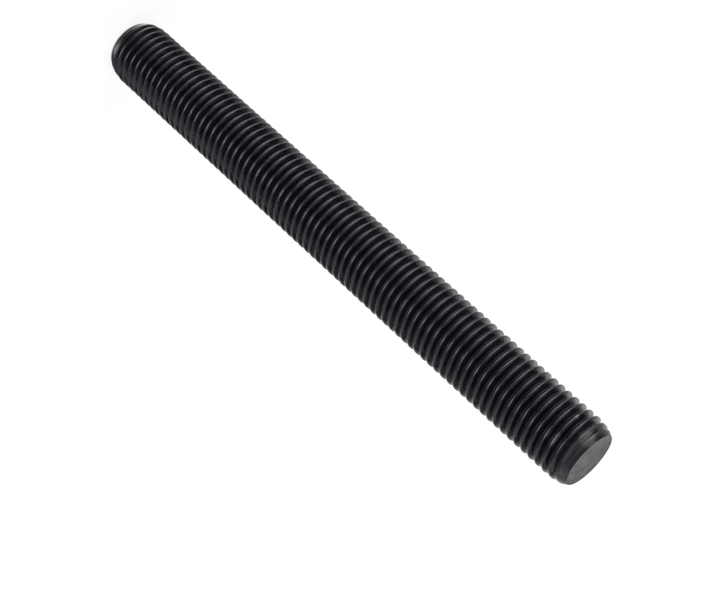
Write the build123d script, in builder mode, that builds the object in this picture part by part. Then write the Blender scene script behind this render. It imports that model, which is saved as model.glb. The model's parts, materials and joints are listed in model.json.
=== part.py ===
from build123d import *
import math
import os

# A stud threaded over its whole length, with both ends chamfered. It stands on its lower end face: the
# origin is the centre of that face and +Z runs along the axis.

# Driving dimensions, in millimetres and degrees
crest_diameter = 19.8
pitch = 2.5
stud_length = 190.0
end_face_inset = 1.7
chamfer_angle = 30.0
chamfer_length = 1.8
taper_pitches = 2.0
rim_radius = 0.2

# Sizes that follow from them. The end face lies inside the crests by its inset, all the way round.
crest_radius = crest_diameter / 2
end_face_radius = crest_radius - end_face_inset
chamfer_radius = end_face_radius + chamfer_length * math.tan(math.radians(chamfer_angle))
taper_length = taper_pitches * pitch

# The blank is one profile turned about the axis. At each end a chamfer leads to a slender taper, over
# which the crests grow to their full height.
with BuildPart() as threaded_stud:
    with BuildSketch(Plane.XZ):
        with BuildLine():
            Polyline(
                (0, stud_length / 2),
                (0, 0),
                (end_face_radius, 0),
                (chamfer_radius, chamfer_length),
                (crest_radius, taper_length),
                (crest_radius, stud_length / 2),
            )
            mirror(about=Plane.XZ.offset(-stud_length / 2))
        make_face()
    revolve(axis=Axis.Z)
    end_faces = threaded_stud.faces().filter_by(Plane.XY)
    fillet(end_faces.edges(), radius=rim_radius)

threaded_stud.part.label = "threaded_stud"

os.makedirs("parts", exist_ok=True)
export_step(threaded_stud.part, "parts/threaded_stud.step")
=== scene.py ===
import json
import math

import bpy
import numpy as np
from mathutils import Matrix, Vector


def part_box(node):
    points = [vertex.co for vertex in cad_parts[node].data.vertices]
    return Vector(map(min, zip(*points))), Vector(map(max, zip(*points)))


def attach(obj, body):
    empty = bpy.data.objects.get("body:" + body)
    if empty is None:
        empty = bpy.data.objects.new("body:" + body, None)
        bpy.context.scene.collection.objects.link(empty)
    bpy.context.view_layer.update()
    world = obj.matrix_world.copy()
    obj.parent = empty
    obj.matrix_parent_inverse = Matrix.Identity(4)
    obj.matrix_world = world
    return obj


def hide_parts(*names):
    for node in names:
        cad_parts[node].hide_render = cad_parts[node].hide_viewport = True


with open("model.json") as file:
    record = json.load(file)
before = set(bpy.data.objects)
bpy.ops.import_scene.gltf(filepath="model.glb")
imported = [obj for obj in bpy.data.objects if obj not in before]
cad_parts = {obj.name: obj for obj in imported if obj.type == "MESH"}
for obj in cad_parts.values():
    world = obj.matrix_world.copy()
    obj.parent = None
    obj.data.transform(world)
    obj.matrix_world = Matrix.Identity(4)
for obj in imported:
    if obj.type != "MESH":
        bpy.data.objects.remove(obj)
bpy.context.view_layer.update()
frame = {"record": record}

MM = 0.001
STUD_NODE = "threaded_stud"

thread_mount = next(mount for mount in frame["record"]["mounts"] if mount["name"] == "thread")

# The stud's main sizes, in metres. The length and the radius over the crests are the frame's own.
STUD_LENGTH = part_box(STUD_NODE)[1].z
CREST_RADIUS = thread_mount["dims"]["r_mm"] * MM

# The thread: a single right-hand start with 60 degree flanks, and an arc at the crest and the root.
PITCH = 2.5 * MM
HALF_ANGLE = math.radians(30.0)
CREST_ROUND = 0.5 * MM
THREAD_DEPTH = 1.43 * MM
ROOT_RADIUS = CREST_RADIUS - THREAD_DEPTH
# The flanks, drawn on, meet above the crest by the crest's radius and below the root by the root's radius.
ROOT_ROUND = PITCH / 2 / math.tan(HALF_ANGLE) - THREAD_DEPTH - CREST_ROUND
# Half the crest's width where its flanks, drawn on, would meet the crest radius
HALF_LAND = CREST_ROUND * math.tan(HALF_ANGLE)
# How far past that the crest's arc reaches down the flank
ARC_REACH = CREST_ROUND * math.cos(HALF_ANGLE) - HALF_LAND
# The height of one crest on the side towards the camera, measured down from the upper end face
FIRST_CREST_DROP = 5.02 * MM
CAMERA_SIDE = math.radians(-90.0)

# Each end: a flat face, a small rim radius, a chamfer, and a slender taper up to full crests. The groove
# runs out between two heights above the face, and the taper cuts the crests flat with a rounded edge. The
# least share of that rounding stays where the crests are full, so that nothing is divided by zero.
END_FACE_INSET = 1.7 * MM
CHAMFER_ANGLE = math.radians(30.0)
CHAMFER_LENGTH = 1.8 * MM
TAPER_LENGTH = 2 * PITCH
RIM_RADIUS = 0.2 * MM
END_FACE_RADIUS = CREST_RADIUS - END_FACE_INSET
CHAMFER_RADIUS = END_FACE_RADIUS + CHAMFER_LENGTH * math.tan(CHAMFER_ANGLE)
GROOVE_START = 0.8 * MM
GROOVE_FULL = 2.3 * MM
CUT_ROUNDING = 0.22 * MM
LEAST_ROUNDING = 0.001
# The rim's arc: how far out its centre lies, and the height at which it meets the chamfer
RIM_CENTRE = END_FACE_RADIUS - RIM_RADIUS * math.tan((math.pi / 2 - CHAMFER_ANGLE) / 2)
RIM_TOP = RIM_RADIUS * (1 - math.sin(CHAMFER_ANGLE))

# The fineness of the mesh. Points that agree to so many decimals of a millimetre become one.
SEGMENTS_PER_TURN = 72
COLLAR_HEIGHT = 0.3 * MM
RIM_STEPS = 5
FACE_SHARES = (0.985, 0.9, 0.75, 0.6, 0.45, 0.3, 0.15, 0.0)
ROOT_SHARES = (0.12, 0.75, 0.83, 0.915)
EDGE_STEPS = 6
MERGE_DECIMALS = 5
FACE_TOLERANCE = 0.0001 * MM
# Two of the rows at the crest's edge: how far inside it one lies, as a share of the crest's half width at
# most, and how far past it the other lies, as a share of the arc's reach
INSIDE_EDGE = 0.45
PAST_EDGE = 0.15

# The black oxide. Colours are linear, a gloss is a share of the usual dielectric's, and the roughness
# spreads to either side of its middle.
OXIDE_GLOSS = 0.25
OXIDE_TINT = (0.90, 0.88, 1.0, 1)
OXIDE_ROUGHNESS = 0.21
ROUGHNESS_SPREAD = 0.08
ROOT_DULLNESS = 0.16
BLUE_BLACK = (0.0026, 0.0022, 0.0038, 1)
BROWN_BLACK = (0.0165, 0.0125, 0.0108, 1)
PALE_CHAMFER = (0.058, 0.054, 0.052, 1)
BARE_STEEL = (0.34, 0.33, 0.32, 1)
# How much steel the specks along the crests show, and how brown the ends are all round
CREST_WEAR = 0.05
BROWN_ALL_ROUND = 0.25
# Marks on the thread and the chamfer: a place and a reach in millimetres, and the worn ones' strength
WORN_SPOTS = [((-6.16, -7.73, 182.14), 0.9, 0.19), ((1.76, -9.7, 182.37), 2.6, 0.1)]
BROWN_PLACES = [((-5.3, -6.9, 186.5), 9.0), ((1.5, -8.6, 1.0), 6.0)]
PALE_PLACE = ((-3.6, -7.8, 188.1), 3.0)
DULL_PLACE = ((2.4, -8.4, 188.2), 5.0)
DULL_ROUGHNESS = 0.3
# Bands between which a mask changes: radii, and depths below the nearer end, in millimetres
CREST_BAND = (CREST_RADIUS / MM - 0.22, CREST_RADIUS / MM - 0.02)
SHOULDER_BAND = (CREST_RADIUS / MM - 0.7, CREST_RADIUS / MM - 0.1)
ROOT_BAND = (ROOT_RADIUS / MM, CREST_RADIUS / MM - 0.5)
END_BAND = (6.0, 1.5)
RIM_BAND = (0.2, 1.3)

# The cut end faces. Painted shade makes them darker one way across, over a band in millimetres that the
# blotches shift.
FACE_GLOSS = 0.3
FACE_ROUGHNESS = (0.4, 0.58)
# The pale colour is the painted lit side of the face and the dark one its painted shade; the dark one also
# colours the fine specks.
FACE_LIT_PALE = (0.098, 0.094, 0.092, 1)
FACE_DARK_SHADE_AND_SPECKS = (0.044, 0.040, 0.043, 1)
FACE_VIOLET = (0.071, 0.066, 0.078, 1)
FACE_PINK = (0.15, 0.125, 0.125, 1)
# The way across the face along which painted shade darkens it, the band of that painted shade, and how far
# the blotches shift it
FACE_PAINTED_SHADE_WAY = (0.3, 1.0, 0.0)
PAINTED_SHADE_BAND = (-4.0, 11.0)
PAINTED_SHADE_UNEVENNESS = 8.0
VIOLET_SHARE = 0.8
PINK_SHARE = 0.5
PINK_CORNER = ((-7.0, -4.0, 190.0), 4.5)
SPECK_SHARE = 0.35
# The face's two painted edges, a painted highlight along its near side and painted shade along its far side:
# how far in from the rim each starts and is full, its share, the band along the way of the painted shade,
# and its colour
FACE_PAINTED_EDGES = [
    (0.8, 0.1, 0.7, (-2.0, -6.0), (0.14, 0.135, 0.135, 1)),
    (2.4, 0.3, 0.9, (-3.0, 4.0), (0.03, 0.028, 0.03, 1)),
]
RING_SCALE = 3.2
RING_DETAIL = 3.0

# Mottled patterns: the size of their blotches in millimetres along X, Y and Z, and their contrast
BLOTCHES = ((1.7, 1.7, 1.7), 2.6)
GRAIN = ((0.3, 0.3, 0.3), 2.0)
ROLLED_LINES = ((5.0, 5.0, 0.12), 2.0)
DENTS = ((1.3, 1.3, 1.0), 2.0)
FACE_BLOTCHES = ((2.6, 2.6, 2.6), 3.0)
FACE_TINTS = ((2.1, 4.2, 3.0), 3.0)
FACE_GRAIN = ((0.35, 0.35, 0.35), 2.0)
MOTTLE_DETAIL = 4.0
# The span of a pattern over which a finish changes: all of it, most of it, or its peaks alone
WHOLE = (0.0, 1.0)
MOST = (0.2, 0.8)
WEAR_PEAKS = (0.45, 0.95)
SPECK_PEAKS = (0.55, 0.95)
# How the browning follows the blotches and the pale place follows the grain, from least to most
BROWN_SHARES = (0.5, 1.0)
PALE_SHARES = (0.4, 0.9)
# A round mark is full inside its core, a share of its reach. Noise of the given scale makes its edge ragged:
# the distance is multiplied by the second number times the noise, plus the first.
SPOT_CORE = 0.4
SPOT_NOISE_SCALE = 2.5
SPOT_RAGGED = (0.4, 1.2)
# Each relief has a strength and a depth. The grain has a share of the height, and so have the rolled lines
# at the ends, where most of them are cut away.
DENT_RELIEF = (0.8, 0.06 * MM)
LINE_RELIEF = (0.35, 0.006 * MM)
FACE_RELIEF = (0.4, 0.02 * MM)
LINE_GRAIN = 0.6
FACE_RING_GRAIN = 0.4
LINES_AT_ENDS = 0.2

# The camera stands in front of the stud and looks down on its upper end. It is rolled so that the upper end
# is at the lower right of the picture.
IMAGE_WIDTH = 720
FOCAL_PIXELS = 1626.4
CAMERA_PLACE = Vector((0.0, -400.7, 300.9)) * MM
CAMERA_AIM = Vector((8.87, -0.2, 112.1)) * MM
CAMERA_ROLL = math.radians(-132.75)

# The stage is in metres and degrees. On it azimuth 0 is the camera's side and 90 is +X.
WHITE = (1, 1, 1, 1)
# The floor: its colour under the lamps, the part of the white near the stud that the camera sees lit by
# them, how bright they leave that part, and the distances between which it fades away
FLOOR_SIZE = 40.0
FLOOR_GREY = (0.8, 0.8, 0.8, 1)
FLOOR_LIT = 0.2
FLOOR_LEVEL = 0.8
FLOOR_FADE = (0.5, 3.0)
# The lit table top: its inner and outer radius, its height above the floor, and the fineness of its mesh
TABLE_INNER = 0.0088
TABLE_OUTER = 0.9
TABLE_HEIGHT = 0.0004
TABLE_SEGMENTS = 120
TABLE_RINGS = 40
# How bright its white is, how bright it is at the stud's foot, and how far out it is full
TABLE_WHITE = 0.82
FOOT_SHADE = 0.2
FOOT_SHADE_REACH = 0.03
# Each glow: its azimuth at the stud and at the sweep's distance, its width, and how much light it adds
TABLE_GLOWS = [(-53.0, -73.0, 16.5, 8.2), (29.0, 32.0, 9.5, 9.0), (180.0, 180.0, 18.0, 2.8)]
TABLE_SWEEP = 0.35
# The glows' share at some distances from the stud
GLOW_REACH = (0.0, 0.1, 0.22, 0.38)
GLOW_SHARE = (0.3, 1.0, 1.0, 0.8)
# The lamps: a name, an azimuth, an elevation, half the angle that each fills, and a brightness
LAMP_DISTANCE = 5.0
LAMPS = [
    ("left_window", -54, 50, 26, 1.6),
    ("left_card", -62, 18, 15, 2.2),
    ("right_window", 90, 35, 28, 1.7),
    ("front_card", 30, 9, 13, 4.8),
    ("rear_window", 165, 54, 22, 2.0),
    ("rear_card", 212, 20, 17, 1.0),
]
# The world: the elevations between which it fades from white, and how bright it is above them
HORIZON_FADE = (12.0, 26.0)
OVERHEAD = 0.12


def end_outline(height):
    """The radius of the blank at a height above its nearest end face.

    The rim is an arc tangent to the face and to the chamfer, the chamfer is a cone whose side leans by the
    chamfer angle, and the taper is a straight line from there to the full crest radius.
    """
    below_centre = np.clip(RIM_RADIUS - height, 0, RIM_RADIUS)
    rim = RIM_CENTRE + np.sqrt(RIM_RADIUS**2 - below_centre**2)
    chamfer = END_FACE_RADIUS + height * math.tan(CHAMFER_ANGLE)
    taper = np.interp(height, [CHAMFER_LENGTH, TAPER_LENGTH], [CHAMFER_RADIUS, CREST_RADIUS])
    return np.where(height < RIM_TOP, rim, np.where(height < CHAMFER_LENGTH, chamfer, taper))


def blank_radius(z):
    """The blank's radius at any height: the end outline, measured from whichever end is nearer."""
    return end_outline(np.clip(np.minimum(z, STUD_LENGTH - z), 0, None))


def soft_min(a, b, width):
    """The lesser of a and b, with the corner between them rounded over the given width.

    Where they differ by less than the width, a quarter of the width comes off, times the square of how near
    they are.
    """
    near = np.clip(1 - np.abs(a - b) / width, 0, None)
    return np.minimum(a, b) - near**2 * width / 4


def crest_height(azimuth):
    """The height of the helix that runs along the crest, at an azimuth that grows by a turn each pitch."""
    return STUD_LENGTH - FIRST_CREST_DROP + PITCH * (azimuth - CAMERA_SIDE) / (2 * math.pi)


def smooth_share(value, start, end):
    """From 0 at start to 1 at end, along 3 t squared less 2 t cubed."""
    share = np.clip((value - start) / (end - start), 0, 1)
    return share**2 * (3 - 2 * share)


def full_thread(across):
    """The radius of a full thread at a distance along the axis from its crest.

    An arc of the crest's radius runs to where it is tangent to the flank, the flank is straight, and an arc
    of the root's radius, centred midway between two crests, is tangent to it again.
    """
    from_root = PITCH / 2 - across
    crest_end = CREST_ROUND * math.cos(HALF_ANGLE)
    root_end = ROOT_ROUND * math.cos(HALF_ANGLE)
    crest = CREST_RADIUS - CREST_ROUND + np.sqrt(CREST_ROUND**2 - np.minimum(across, crest_end)**2)
    flank = CREST_RADIUS + CREST_ROUND - across / math.tan(HALF_ANGLE)
    root = ROOT_RADIUS + ROOT_ROUND - np.sqrt(ROOT_ROUND**2 - np.minimum(from_root, root_end)**2)
    return np.where(across < crest_end, crest, np.where(from_root < root_end, root, flank))


def thread_radius(azimuth, z):
    """The stud's radius at an azimuth and a height.

    The distance along the axis to the nearest crest gives the full thread. The blank cuts it off with a soft
    minimum, whose rounding is next to nothing where the crests are full. Near an end the depth below the
    blank is scaled by a share that falls smoothly to nothing.
    """
    from_crest = z - crest_height(azimuth)
    grooved = full_thread(np.abs(from_crest - PITCH * np.round(from_crest / PITCH)))
    height = np.minimum(z, STUD_LENGTH - z)
    blank = blank_radius(z)
    full = smooth_share(height, TAPER_LENGTH - PITCH, TAPER_LENGTH)
    cut = soft_min(grooved, blank, CUT_ROUNDING * (1 + LEAST_ROUNDING - full))
    return blank - smooth_share(height, GROOVE_START, GROOVE_FULL) * (blank - cut)


def crest_edge(height, side):
    """How far from the helix the crest's edge lies, on the upper or the lower side.

    The edge is where the flank's line meets the blank, so it moves outwards where the blank is slimmer. Each
    step puts the last answer's height into the blank's radius, and a few steps settle it.
    """
    edge = np.full_like(height, HALF_LAND)
    for _ in range(EDGE_STEPS):
        edge = HALF_LAND + (CREST_RADIUS - blank_radius(height + side * edge)) * math.tan(HALF_ANGLE)
    return np.minimum(edge, PITCH / 2 - 2 * ARC_REACH)


def half_rows(edge):
    """Where the ribbon's rows lie on one side of the crest, for the distance of the crest's edge.

    Three rows turn the edge, and four lie at shares of the way from there to the middle of the root.
    """
    outer = edge + ARC_REACH
    turn = [edge - np.minimum(ARC_REACH, INSIDE_EDGE * edge), edge + PAST_EDGE * ARC_REACH, outer]
    return turn + [outer + share * (PITCH / 2 - outer) for share in ROOT_SHARES]


def helical_ribbon():
    """The thread as one ribbon that winds up the stud and is sewn to itself turn by turn.

    A column lies at each step of azimuth, and its rows cross one pitch from the root below a crest to the
    root above it. The last row is the first row of the column one turn on. Heights outside the collars are
    pulled to the collars' edges, where the blank is slimmer than the root, so both ends close on a circle.
    """
    turns_below = math.ceil((STUD_LENGTH - FIRST_CREST_DROP) / PITCH) + 1
    turns_above = math.ceil(FIRST_CREST_DROP / PITCH) + 1
    columns = (turns_below + turns_above) * SEGMENTS_PER_TURN + 1
    first_azimuth = CAMERA_SIDE - 2 * math.pi * turns_below
    azimuth = first_azimuth + np.arange(columns) * 2 * math.pi / SEGMENTS_PER_TURN
    helix = crest_height(azimuth)
    across = [np.full(columns, -PITCH / 2)]
    across += [-row for row in reversed(half_rows(crest_edge(helix, -1)))]
    across += [np.zeros(columns)]
    across += half_rows(crest_edge(helix, 1))
    across = np.stack(across, axis=1)
    z = np.clip(helix[:, None] + across, COLLAR_HEIGHT, STUD_LENGTH - COLLAR_HEIGHT)
    radius = thread_radius(azimuth[:, None] + np.zeros_like(z), z)
    points = np.stack([radius * np.cos(azimuth)[:, None], radius * np.sin(azimuth)[:, None], z], axis=2)
    rows = across.shape[1]
    ids = np.arange(columns * rows).reshape(columns, rows)
    # The row after a column's last is the first row of the column one turn on.
    shared = np.concatenate([ids[:-SEGMENTS_PER_TURN], ids[SEGMENTS_PER_TURN:, :1]], axis=1)
    here = shared[:-1]
    there = shared[1:]
    quads = np.stack([here[:, :-1], there[:, :-1], there[:, 1:], here[:, 1:]], axis=2).reshape(-1, 4)
    return points.reshape(-1, 3), quads


def end_cap(upper):
    """A collar, the rim's arc and the flat face of one end, as rings that share the ribbon's azimuths.

    The rim's rings lie at equal angles along its arc, and the face's at shares of the rim centre's radius.
    """
    sweep = np.linspace(math.pi / 2 - CHAMFER_ANGLE, 0, RIM_STEPS)
    radius = np.concatenate([
        [end_outline(np.array(COLLAR_HEIGHT))],
        RIM_CENTRE + RIM_RADIUS * np.sin(sweep),
        RIM_CENTRE * np.array(FACE_SHARES),
    ])
    height = np.concatenate([
        [COLLAR_HEIGHT],
        RIM_RADIUS * (1 - np.cos(sweep)),
        np.zeros(len(FACE_SHARES)),
    ])
    azimuth = CAMERA_SIDE + np.arange(SEGMENTS_PER_TURN) * 2 * math.pi / SEGMENTS_PER_TURN
    z = STUD_LENGTH - height if upper else height
    points = np.stack([
        radius[:, None] * np.cos(azimuth),
        radius[:, None] * np.sin(azimuth),
        z[:, None] + np.zeros(SEGMENTS_PER_TURN),
    ], axis=2)
    ids = np.arange(radius.size * SEGMENTS_PER_TURN).reshape(radius.size, SEGMENTS_PER_TURN)
    outer = ids[:-1]
    inner = ids[1:]
    corners = [outer, np.roll(outer, -1, axis=1), np.roll(inner, -1, axis=1), inner]
    if not upper:
        corners.reverse()
    return points.reshape(-1, 3), np.stack(corners, axis=2).reshape(-1, 4)


def closed_mesh(name, parts):
    """One mesh from several grids of points and quads.

    Points that coincide become one, each quad is cut into two triangles, and a triangle that has lost a
    corner to that is left out.
    """
    offsets = np.cumsum([0] + [len(points) for points, _ in parts[:-1]])
    points = np.concatenate([points for points, _ in parts])
    quads = np.concatenate([quads + offset for (_, quads), offset in zip(parts, offsets)])
    rounded = np.round(points / MM, MERGE_DECIMALS)
    _, first, merged = np.unique(rounded, axis=0, return_index=True, return_inverse=True)
    quads = merged.reshape(-1)[quads]
    triangles = np.concatenate([quads[:, [0, 1, 2]], quads[:, [0, 2, 3]]])
    distinct = (triangles != np.roll(triangles, 1, axis=1)).all(axis=1)
    mesh = bpy.data.meshes.new(name)
    mesh.from_pydata(points[first], [], triangles[distinct])
    mesh.validate()
    mesh.shade_smooth()
    piece = bpy.data.objects.new(name, mesh)
    bpy.context.scene.collection.objects.link(piece)
    return piece


def make_stud():
    """The whole stud: the thread's ribbon and a cap at each end, whose flat faces take the second finish."""
    stud = closed_mesh("stud", [helical_ribbon(), end_cap(False), end_cap(True)])
    stud.data.materials.append(black_oxide())
    stud.data.materials.append(cut_face())
    centres = np.empty(3 * len(stud.data.polygons))
    stud.data.polygons.foreach_get("center", centres)
    z = centres.reshape(-1, 3)[:, 2]
    in_end_plane = np.minimum(z, STUD_LENGTH - z) < FACE_TOLERANCE
    stud.data.polygons.foreach_set("material_index", in_end_plane.astype(np.int32))
    return stud


def add_node(tree, kind, inputs=(), **settings):
    """A shader node with its settings.

    Each input is a pair: a socket's name or number, and a value to set or another node's output to link.
    """
    made = tree.nodes.new(kind)
    for name, value in settings.items():
        setattr(made, name, value)
    for key, value in dict(inputs).items():
        if isinstance(value, bpy.types.NodeSocket):
            tree.links.new(value, made.inputs[key])
        else:
            made.inputs[key].default_value = value
    return made


def calculate(tree, operation, first, second=0.0):
    """The result of a Math node."""
    return add_node(tree, "ShaderNodeMath", {0: first, 1: second}, operation=operation).outputs[0]


def vector_math(tree, operation, inputs, result="Vector"):
    """One output of a Vector Math node, which is a vector or, if asked for, the Value."""
    return add_node(tree, "ShaderNodeVectorMath", inputs, operation=operation).outputs[result]


def fade(tree, value, start, end, low=0.0, high=1.0):
    """A smooth step from low, where the value is at start, to high, where it is at end."""
    inputs = {"Value": value, "From Min": start, "From Max": end, "To Min": low, "To Max": high}
    return add_node(tree, "ShaderNodeMapRange", inputs, interpolation_type="SMOOTHSTEP").outputs["Result"]


def mix_colours(tree, share, first, second):
    """The first colour where the share is 0, and the second where it is 1.

    A Mix node's colours are its inputs 6 and 7 and its output 2.
    """
    inputs = {0: share, 6: first, 7: second}
    return add_node(tree, "ShaderNodeMix", inputs, data_type="RGBA").outputs[2]


def bump(tree, height, strength, depth, under=None):
    """The normal of a relief of the given depth in metres. Another relief's normal may lie under it."""
    inputs = {"Height": height, "Strength": strength, "Distance": depth}
    if under is not None:
        inputs["Normal"] = under
    return add_node(tree, "ShaderNodeBump", inputs).outputs["Normal"]


def new_group(name, inputs, outputs):
    """An empty shader node group with its sockets, and its input and output nodes."""
    tree = bpy.data.node_groups.new(name, "ShaderNodeTree")
    for socket, kind in inputs.items():
        tree.interface.new_socket(socket, in_out="INPUT", socket_type=kind)
    for socket, kind in outputs.items():
        tree.interface.new_socket(socket, in_out="OUTPUT", socket_type=kind)
    return tree, tree.nodes.new("NodeGroupInput"), tree.nodes.new("NodeGroupOutput")


def use_group(tree, name, inputs=()):
    """The outputs of one of the node groups, placed in a material with its own values."""
    return add_node(tree, "ShaderNodeGroup", inputs, node_tree=GROUPS[name]).outputs


def place_on_stud():
    """Where a point lies, in millimetres: its position, its radius, and its depth below the nearer end."""
    tree, _, result = new_group("place_on_stud", {}, {
        "Position": "NodeSocketVector",
        "Radius": "NodeSocketFloat",
        "Depth": "NodeSocketFloat",
    })
    here = add_node(tree, "ShaderNodeTexCoord").outputs["Object"]
    position = vector_math(tree, "SCALE", {0: here, "Scale": 1 / MM})
    level = vector_math(tree, "MULTIPLY", {0: position, 1: (1, 1, 0)})
    z = add_node(tree, "ShaderNodeSeparateXYZ", {0: position}).outputs["Z"]
    from_top = calculate(tree, "SUBTRACT", STUD_LENGTH / MM, z)
    tree.links.new(position, result.inputs["Position"])
    tree.links.new(vector_math(tree, "LENGTH", {0: level}, "Value"), result.inputs["Radius"])
    tree.links.new(calculate(tree, "MINIMUM", z, from_top), result.inputs["Depth"])
    return tree


def mottle():
    """Soft blotches of a given size, as a mask about one half, that can be drawn out along an axis.

    The mask is noise at the position over the size, less one half, times the contrast, plus one half.
    """
    tree, given, result = new_group("mottle", {
        "Position": "NodeSocketVector",
        "Size": "NodeSocketVector",
        "Contrast": "NodeSocketFloat",
    }, {"Mask": "NodeSocketFloat"})
    scaled = vector_math(tree, "DIVIDE", {0: given.outputs["Position"], 1: given.outputs["Size"]})
    noise = add_node(tree, "ShaderNodeTexNoise", {"Vector": scaled, "Scale": 1.0, "Detail": MOTTLE_DETAIL})
    centred = calculate(tree, "SUBTRACT", noise.outputs["Fac"], 0.5)
    stretched = calculate(tree, "MULTIPLY", centred, given.outputs["Contrast"])
    raised = add_node(tree, "ShaderNodeMath", {0: stretched, 1: 0.5}, operation="ADD", use_clamp=True)
    tree.links.new(raised.outputs[0], result.inputs["Mask"])
    return tree


def spot():
    """A mark about a centre, whose mask is 1 inside a core and fades to 0 at a ragged edge.

    The distance from the centre over the reach is multiplied by noise before it is compared with the core.
    """
    tree, given, result = new_group("spot", {
        "Position": "NodeSocketVector",
        "Centre": "NodeSocketVector",
        "Reach": "NodeSocketFloat",
    }, {"Mask": "NodeSocketFloat"})
    ends = {0: given.outputs["Position"], 1: given.outputs["Centre"]}
    away = calculate(tree, "DIVIDE", vector_math(tree, "DISTANCE", ends, "Value"), given.outputs["Reach"])
    inputs = {"Vector": given.outputs["Position"], "Scale": SPOT_NOISE_SCALE}
    noise = add_node(tree, "ShaderNodeTexNoise", inputs).outputs["Fac"]
    least, more = SPOT_RAGGED
    ragged = calculate(tree, "ADD", calculate(tree, "MULTIPLY", noise, more), least)
    away = calculate(tree, "MULTIPLY", away, ragged)
    tree.links.new(fade(tree, away, 1.0, SPOT_CORE), result.inputs["Mask"])
    return tree


def pattern(tree, position, size, contrast):
    """The mask of a mottle with the given size and contrast."""
    inputs = {"Position": position, "Size": size, "Contrast": contrast}
    return use_group(tree, "mottle", inputs)["Mask"]


def mark(tree, position, centre, reach):
    """The mask of a spot at the given centre, which reaches so far."""
    inputs = {"Position": position, "Centre": centre, "Reach": reach}
    return use_group(tree, "spot", inputs)["Mask"]


def new_finish(name, specular):
    """A material with its Principled shader: a dielectric with the given share of the usual gloss."""
    material = bpy.data.materials.new(name)
    material.use_nodes = True
    surface = material.node_tree.nodes["Principled BSDF"]
    surface.inputs["Specular IOR Level"].default_value = specular
    return material, material.node_tree, surface


def browning(tree, place, near_end, blotches):
    """How brown the oxide is: a little all round near the ends, more in some places, and not on the rim."""
    browned = BROWN_ALL_ROUND
    for centre, reach in BROWN_PLACES:
        browned = calculate(tree, "MAXIMUM", browned, mark(tree, place["Position"], centre, reach))
    browned = calculate(tree, "MULTIPLY", browned, fade(tree, place["Depth"], *RIM_BAND))
    browned = calculate(tree, "MULTIPLY", browned, fade(tree, blotches, *MOST, *BROWN_SHARES))
    return calculate(tree, "MULTIPLY", near_end, browned)


def bared(tree, place, grain):
    """How much steel shows: faint specks along the crests, and the places near the upper end that rub."""
    crest = fade(tree, place["Radius"], *CREST_BAND)
    shoulder = fade(tree, place["Radius"], *SHOULDER_BAND)
    steel = calculate(tree, "MULTIPLY", crest, fade(tree, grain, *WEAR_PEAKS, 0.0, CREST_WEAR))
    for centre, reach, strength in WORN_SPOTS:
        worn = mark(tree, place["Position"], centre, reach)
        worn = calculate(tree, "MULTIPLY", worn, calculate(tree, "MULTIPLY", shoulder, strength))
        steel = calculate(tree, "MAXIMUM", steel, worn)
    return steel


def oxide_roughness(tree, place, blotches):
    """How rough the oxide is: uneven about its middle, and duller in the roots and at one place."""
    spread = (OXIDE_ROUGHNESS - ROUGHNESS_SPREAD, OXIDE_ROUGHNESS + ROUGHNESS_SPREAD)
    dull = fade(tree, place["Radius"], *ROOT_BAND, ROOT_DULLNESS, 0.0)
    dull_place = calculate(tree, "MULTIPLY", mark(tree, place["Position"], *DULL_PLACE), DULL_ROUGHNESS)
    dull = calculate(tree, "ADD", dull, dull_place)
    return calculate(tree, "ADD", fade(tree, blotches, *WHOLE, *spread), dull)


def rolled_relief(tree, place, near_end, grain):
    """The oxide's relief: shallow dents, and over them the grain and the fine lines that rolling leaves.

    The lines run along the thread and are mostly cut away at the ends.
    """
    lines = pattern(tree, place["Position"], *ROLLED_LINES)
    lines = calculate(tree, "MULTIPLY", lines, fade(tree, near_end, *WHOLE, 1.0, LINES_AT_ENDS))
    height = calculate(tree, "ADD", lines, calculate(tree, "MULTIPLY", grain, LINE_GRAIN))
    dents = bump(tree, pattern(tree, place["Position"], *DENTS), *DENT_RELIEF)
    return bump(tree, height, *LINE_RELIEF, dents)


def black_oxide():
    """The thread's finish: a thin blue-black oxide over rolled steel.

    The ends are browner, with a paler and a duller place on the upper chamfer, and the crests show a little
    of the steel where they rub.
    """
    material, tree, surface = new_finish("black_oxide", OXIDE_GLOSS)
    surface.inputs["Specular Tint"].default_value = OXIDE_TINT
    place = use_group(tree, "place_on_stud")
    near_end = fade(tree, place["Depth"], *END_BAND)
    blotches = pattern(tree, place["Position"], *BLOTCHES)
    grain = pattern(tree, place["Position"], *GRAIN)

    colour = mix_colours(tree, browning(tree, place, near_end, blotches), BLUE_BLACK, BROWN_BLACK)
    pale = mark(tree, place["Position"], *PALE_PLACE)
    pale = calculate(tree, "MULTIPLY", pale, fade(tree, grain, *MOST, *PALE_SHARES))
    colour = mix_colours(tree, pale, colour, PALE_CHAMFER)
    steel = bared(tree, place, grain)
    tree.links.new(mix_colours(tree, steel, colour, BARE_STEEL), surface.inputs["Base Color"])
    tree.links.new(steel, surface.inputs["Metallic"])
    tree.links.new(oxide_roughness(tree, place, blotches), surface.inputs["Roughness"])
    tree.links.new(rolled_relief(tree, place, near_end, grain), surface.inputs["Normal"])
    return material


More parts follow.
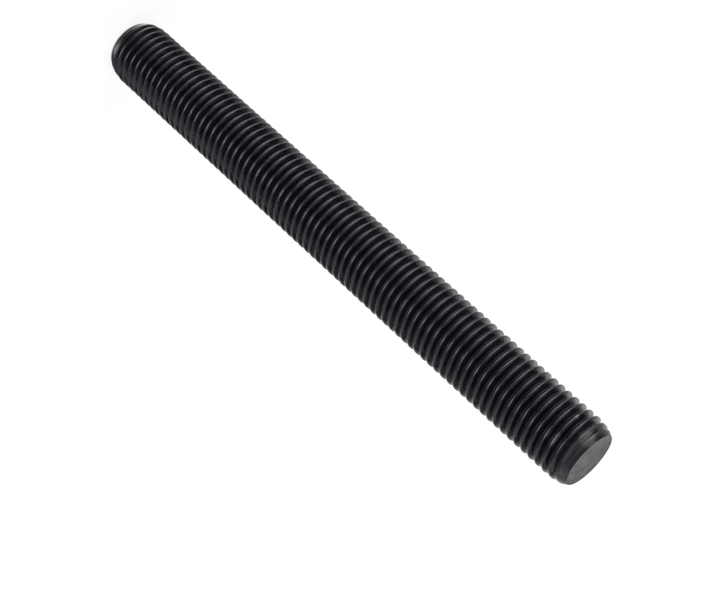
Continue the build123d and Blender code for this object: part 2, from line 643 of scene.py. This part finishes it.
def cut_face():
    """The flat end faces: a thinner, greyer oxide over a cut face, with faint rings left by the cut.

    It is mottled, and painted shade makes it darker one way across. It has a pinkish corner, a painted
    highlight along its near edge, painted shade along its far edge and fine dark specks.
    """
    material, tree, surface = new_finish("cut_face", FACE_GLOSS)
    place = use_group(tree, "place_on_stud")
    position = place["Position"]
    blotches = pattern(tree, position, *FACE_BLOTCHES)
    grain = pattern(tree, position, *FACE_GRAIN)
    along = vector_math(tree, "DOT_PRODUCT", {0: position, 1: FACE_PAINTED_SHADE_WAY}, "Value")

    # Painted shade: the face's colour grows darker one way across, from the painted lit pale to the dark.
    shade = calculate(tree, "ADD", along, calculate(tree, "MULTIPLY", blotches, PAINTED_SHADE_UNEVENNESS))
    colour = mix_colours(tree, fade(tree, shade, *PAINTED_SHADE_BAND), FACE_LIT_PALE, FACE_DARK_SHADE_AND_SPECKS)
    violet = calculate(tree, "MULTIPLY", pattern(tree, position, *FACE_TINTS), VIOLET_SHARE)
    colour = mix_colours(tree, violet, colour, FACE_VIOLET)
    pink = calculate(tree, "MULTIPLY", mark(tree, position, *PINK_CORNER), PINK_SHARE)
    colour = mix_colours(tree, pink, colour, FACE_PINK)
    # A painted highlight along the face's near edge, and painted shade along its far edge
    for start, full, share, band, painted_tone in FACE_PAINTED_EDGES:
        radii = (END_FACE_RADIUS / MM - start, END_FACE_RADIUS / MM - full)
        edge = fade(tree, place["Radius"], *radii, 0.0, share)
        edge = calculate(tree, "MULTIPLY", edge, fade(tree, along, *band))
        colour = mix_colours(tree, edge, colour, painted_tone)
    specks = fade(tree, grain, *SPECK_PEAKS, 0.0, SPECK_SHARE)
    tree.links.new(mix_colours(tree, specks, colour, FACE_DARK_SHADE_AND_SPECKS), surface.inputs["Base Color"])
    tree.links.new(fade(tree, blotches, *WHOLE, *FACE_ROUGHNESS), surface.inputs["Roughness"])

    inputs = {"W": place["Radius"], "Scale": RING_SCALE, "Detail": RING_DETAIL}
    rings = add_node(tree, "ShaderNodeTexNoise", inputs, noise_dimensions="1D").outputs["Fac"]
    height = calculate(tree, "ADD", rings, calculate(tree, "MULTIPLY", grain, FACE_RING_GRAIN))
    tree.links.new(bump(tree, height, *FACE_RELIEF), surface.inputs["Normal"])
    return material


def make_camera():
    """The camera at the photograph's angle, with its focal length given in pixels of the picture's width."""
    data = bpy.data.cameras.new("camera")
    data.lens = FOCAL_PIXELS * data.sensor_width / IMAGE_WIDTH
    camera = bpy.data.objects.new("camera", data)
    bpy.context.scene.collection.objects.link(camera)
    facing = (CAMERA_AIM - CAMERA_PLACE).to_track_quat("-Z", "Y")
    turn = facing.to_matrix() @ Matrix.Rotation(-CAMERA_ROLL, 3, "Z")
    camera.matrix_world = Matrix.Translation(CAMERA_PLACE) @ turn.to_4x4()
    bpy.context.scene.camera = camera


def make_floor():
    """A white floor.

    To the camera, reflections and glass it is plain white, but for a share near the stud that the lamps
    light, which keeps a soft shadow. Its own light makes up for what the lamps leave short of white.
    """
    bpy.ops.mesh.primitive_plane_add(size=FLOOR_SIZE)
    floor = bpy.context.object
    floor.name = "floor"
    material = bpy.data.materials.new("floor")
    material.use_nodes = True
    tree = material.node_tree
    surface = tree.nodes["Principled BSDF"]
    surface.inputs["Roughness"].default_value = 1
    surface.inputs["Specular IOR Level"].default_value = 0
    here = add_node(tree, "ShaderNodeTexCoord").outputs["Object"]
    lit = fade(tree, vector_math(tree, "LENGTH", {0: here}, "Value"), *FLOOR_FADE, FLOOR_LIT, 0.0)
    ray = add_node(tree, "ShaderNodeLightPath").outputs
    seen = calculate(tree, "MAXIMUM", ray["Is Camera Ray"], ray["Is Glossy Ray"])
    seen = calculate(tree, "MAXIMUM", seen, ray["Is Transmission Ray"])
    tree.links.new(mix_colours(tree, seen, FLOOR_GREY, lit), surface.inputs["Base Color"])
    surface.inputs["Emission Color"].default_value = WHITE
    glow = calculate(tree, "SUBTRACT", 1.0, calculate(tree, "MULTIPLY", lit, FLOOR_LEVEL))
    tree.links.new(calculate(tree, "MULTIPLY", seen, glow), surface.inputs["Emission Strength"])
    floor.data.materials.append(material)


def table_glow(azimuth, distance):
    """How bright the table top is at an azimuth in degrees and a distance from the axis.

    It is the table's own white, plus one soft peak for each glow: the glow's strength times e to the power
    of minus half the square of the azimuth's distance over the glow's width. A glow's own azimuth turns
    evenly with distance. Towards the stud's foot the glows fade, and the white sinks into shade.
    """
    out_of_shade = smooth_share(distance, TABLE_INNER, FOOT_SHADE_REACH)
    brightness = FOOT_SHADE + (TABLE_WHITE - FOOT_SHADE) * out_of_shade
    share = np.interp(distance, GLOW_REACH, GLOW_SHARE)
    for near_azimuth, far_azimuth, width, strength in TABLE_GLOWS:
        middle = np.interp(distance, [0, TABLE_SWEEP], [near_azimuth, far_azimuth])
        away = (azimuth - middle + 180) % 360 - 180
        brightness += strength * share * np.exp(-(away / width)**2 / 2)
    return brightness


def table_light():
    """The table top's material, which gives off light upwards and is clear from below."""
    material = bpy.data.materials.new("light_table")
    material.use_nodes = True
    tree = material.node_tree
    tree.nodes.clear()
    strength = add_node(tree, "ShaderNodeAttribute", attribute_name="glow").outputs["Fac"]
    lit = add_node(tree, "ShaderNodeEmission", {"Strength": strength}).outputs[0]
    clear = add_node(tree, "ShaderNodeBsdfTransparent").outputs[0]
    under = add_node(tree, "ShaderNodeNewGeometry").outputs["Backfacing"]
    surface = add_node(tree, "ShaderNodeMixShader", {0: under, 1: lit, 2: clear}).outputs[0]
    add_node(tree, "ShaderNodeOutputMaterial", {"Surface": surface})
    return material


def make_light_table():
    """A lit table top that lies on the floor round the stud, and that the camera doesn't see.

    Its rings grow by the same factor from one to the next, and each point holds its own brightness.
    """
    turns = np.arange(TABLE_SEGMENTS) * 2 * math.pi / TABLE_SEGMENTS
    azimuth, distance = np.meshgrid(turns, np.geomspace(TABLE_INNER, TABLE_OUTER, TABLE_RINGS))
    points = np.stack([
        distance * np.sin(azimuth),
        -distance * np.cos(azimuth),
        np.full_like(azimuth, TABLE_HEIGHT),
    ], axis=2)
    ids = np.arange(azimuth.size).reshape(azimuth.shape)
    inner = ids[:-1]
    outer = ids[1:]
    corners = [inner, outer, np.roll(outer, -1, axis=1), np.roll(inner, -1, axis=1)]
    mesh = bpy.data.meshes.new("light_table")
    mesh.from_pydata(points.reshape(-1, 3), [], np.stack(corners, axis=2).reshape(-1, 4))
    glow = table_glow(np.degrees(azimuth), distance)
    mesh.attributes.new("glow", "FLOAT", "POINT").data.foreach_set("value", glow.ravel())
    mesh.materials.append(table_light())
    table = bpy.data.objects.new("light_table", mesh)
    bpy.context.scene.collection.objects.link(table)
    table.visible_camera = False


def soft_lamp(name, azimuth, elevation, half_angle, brightness):
    """A round soft lamp that faces the stud's middle.

    As seen from the stud it fills a cone of the half angle, and a brightness of 1 is that of white. Its
    power is pi times its area times its brightness.
    """
    data = bpy.data.lights.new(name, "AREA")
    data.shape = "DISK"
    radius = LAMP_DISTANCE * math.tan(math.radians(half_angle))
    data.size = 2 * radius
    data.energy = math.pi * math.pi * radius**2 * brightness
    lamp = bpy.data.objects.new(name, data)
    bpy.context.scene.collection.objects.link(lamp)
    turn = math.radians(azimuth)
    rise = math.radians(elevation)
    way = Vector((math.cos(rise) * math.sin(turn), -math.cos(rise) * math.cos(turn), math.sin(rise)))
    lamp.location = Vector((0, 0, STUD_LENGTH / 2)) + LAMP_DISTANCE * way
    lamp.rotation_euler = (-way).to_track_quat("-Z", "Y").to_euler()
    lamp.visible_camera = False


def make_world():
    """Surroundings that are white at the horizon and dim overhead, with a smooth step between."""
    world = bpy.data.worlds.new("studio")
    bpy.context.scene.world = world
    world.use_nodes = True
    tree = world.node_tree
    way = add_node(tree, "ShaderNodeTexCoord").outputs["Generated"]
    rise = add_node(tree, "ShaderNodeSeparateXYZ", {0: way}).outputs["Z"]
    start, end = (math.sin(math.radians(angle)) for angle in HORIZON_FADE)
    sky = tree.nodes["Background"]
    sky.inputs["Color"].default_value = WHITE
    tree.links.new(fade(tree, rise, start, end, 1.0, OVERHEAD), sky.inputs["Strength"])


GROUPS = {"place_on_stud": place_on_stud(), "mottle": mottle(), "spot": spot()}

stud = make_stud()
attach(stud, "root")
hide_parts(STUD_NODE)

make_camera()
make_floor()
make_light_table()
make_world()
for lamp in LAMPS:
    soft_lamp(*lamp)
bpy.context.scene.view_settings.view_transform = "Standard"
